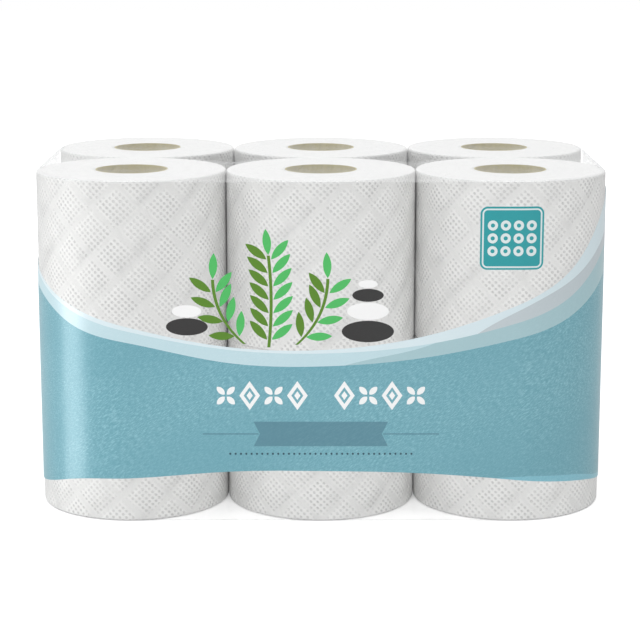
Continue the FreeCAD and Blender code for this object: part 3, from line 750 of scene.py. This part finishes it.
# ---- Floor, light and camera ----
# A plain white floor and soft studio light, seen from the height of the photograph.
floor_mesh = bpy.data.meshes.new("floor")
floor_mesh.from_pydata([(-6, -6, 0), (6, -6, 0), (6, 6, 0), (-6, 6, 0)], [], [(0, 1, 2, 3)])
floor = piece_from("floor", floor_mesh)
material, tree, shader = plain_material("floor_white", 0.9)
shader.inputs["Base Color"].default_value = (0.88, 0.88, 0.88, 1)
shader.inputs["Specular IOR Level"].default_value = 0.0
x, y, z = parts_of(tree, place_in_object(tree))
from_middle = step(tree, "SQRT", step(tree, "ADD", step(tree, "POWER", x, 2.0),
                                      step(tree, "POWER", y, 2.0)))
glow = tree.nodes.new("ShaderNodeEmission")
tree.links.new(ease(tree, from_middle, 0.3, 1.2, 0.46, 1.0), glow.inputs["Strength"])
both = tree.nodes.new("ShaderNodeAddShader")
tree.links.new(shader.outputs[0], both.inputs[0])
tree.links.new(glow.outputs[0], both.inputs[1])
ray = tree.nodes.new("ShaderNodeLightPath")
choice = tree.nodes.new("ShaderNodeMixShader")
tree.links.new(ray.outputs["Is Camera Ray"], choice.inputs["Fac"])
tree.links.new(shader.outputs[0], choice.inputs[1])
tree.links.new(both.outputs[0], choice.inputs[2])
tree.links.new(choice.outputs[0], tree.nodes["Material Output"].inputs["Surface"])
floor.data.materials.append(material)

world = bpy.data.worlds.new("studio")
world.use_nodes = True
bpy.context.scene.world = world
sky = world.node_tree
light_path = sky.nodes.new("ShaderNodeLightPath")
shown = step(sky, "MAXIMUM", light_path.outputs["Is Camera Ray"],
             step(sky, "MAXIMUM", light_path.outputs["Is Glossy Ray"],
                  light_path.outputs["Is Transmission Ray"]))
level = ease(sky, shown, 0, 1, 0.58, 1.0)
sky.nodes["Background"].inputs["Color"].default_value = (1, 1, 1, 1)
sky.links.new(level, sky.nodes["Background"].inputs["Strength"])


def lamp(name, place, target, width, height, power):
    data = bpy.data.lights.new(name, "AREA")
    data.shape = "RECTANGLE"
    data.size = width
    data.size_y = height
    data.energy = power
    light = bpy.data.objects.new(name, data)
    light.location = place
    aim = np.array(target) - np.array(place)
    light.rotation_euler = (math.acos(-aim[2] / np.linalg.norm(aim)), 0,
                            math.atan2(aim[1], aim[0]) - math.pi / 2)
    bpy.context.scene.collection.objects.link(light)
    return light


def light_only(light, objects):
    """Lets the lamp light these objects and nothing else."""
    light.light_linking.receiver_collection = bpy.data.collections.new("lit_by_" + light.name)
    for lit in objects:
        light.light_linking.receiver_collection.objects.link(lit)
    light.visible_camera = False


front_box = lamp("front_box", (0.1, -1.7, 0.6), (0, 0, 0.1), 2.4, 0.8, 6.6)
# Seen from behind, its mirror image would glare in the flat film over the roll ends
front_box.visible_glossy = False
lamp("top_box", (0.0, -0.2, 1.5), (0, 0, 0.1), 1.4, 1.0, 6.7)
lamp("left_box", (-1.3, -0.3, 0.5), (-0.14, 0, 0.1), 0.5, 0.9, 3.6)
lamp("back_box", (-0.3, 1.3, 1.5), (0, 0, 0.1), 1.6, 0.5, 3)
# Two strip lamps close to the left corner make its tall highlight: one shows only as a
# reflection in the print, the other only as a faint glow on the paper behind the clear film
strip = lamp("left_strip", (-0.2002, -0.1182, 0.11), (-0.1437, -0.1031, 0.11), 0.042, 0.23, 0.14)
strip.visible_diffuse = False
light_only(strip, [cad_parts[node_name] for node_name in INKS])
glow_strip = lamp("left_glow", (-0.1670, -0.1200, 0.1), (-0.1490, -0.0990, 0.1),
                  0.012, 0.21, 0.005)
light_only(glow_strip, [bpy.data.objects["paper_top_front_left"],
                        bpy.data.objects["paper_bottom_front_left"]])

camera_data = bpy.data.cameras.new("photo_view")
camera_data.lens = 111.71
camera_data.sensor_width = 36
camera = bpy.data.objects.new("photo_view", camera_data)
camera.location = (-0.0005, -1.2281, 0.3494)
camera.rotation_euler = (math.radians(78.4), 0, 0)
bpy.context.scene.collection.objects.link(camera)
bpy.context.scene.camera = camera
bpy.context.scene.view_settings.view_transform = "Standard"
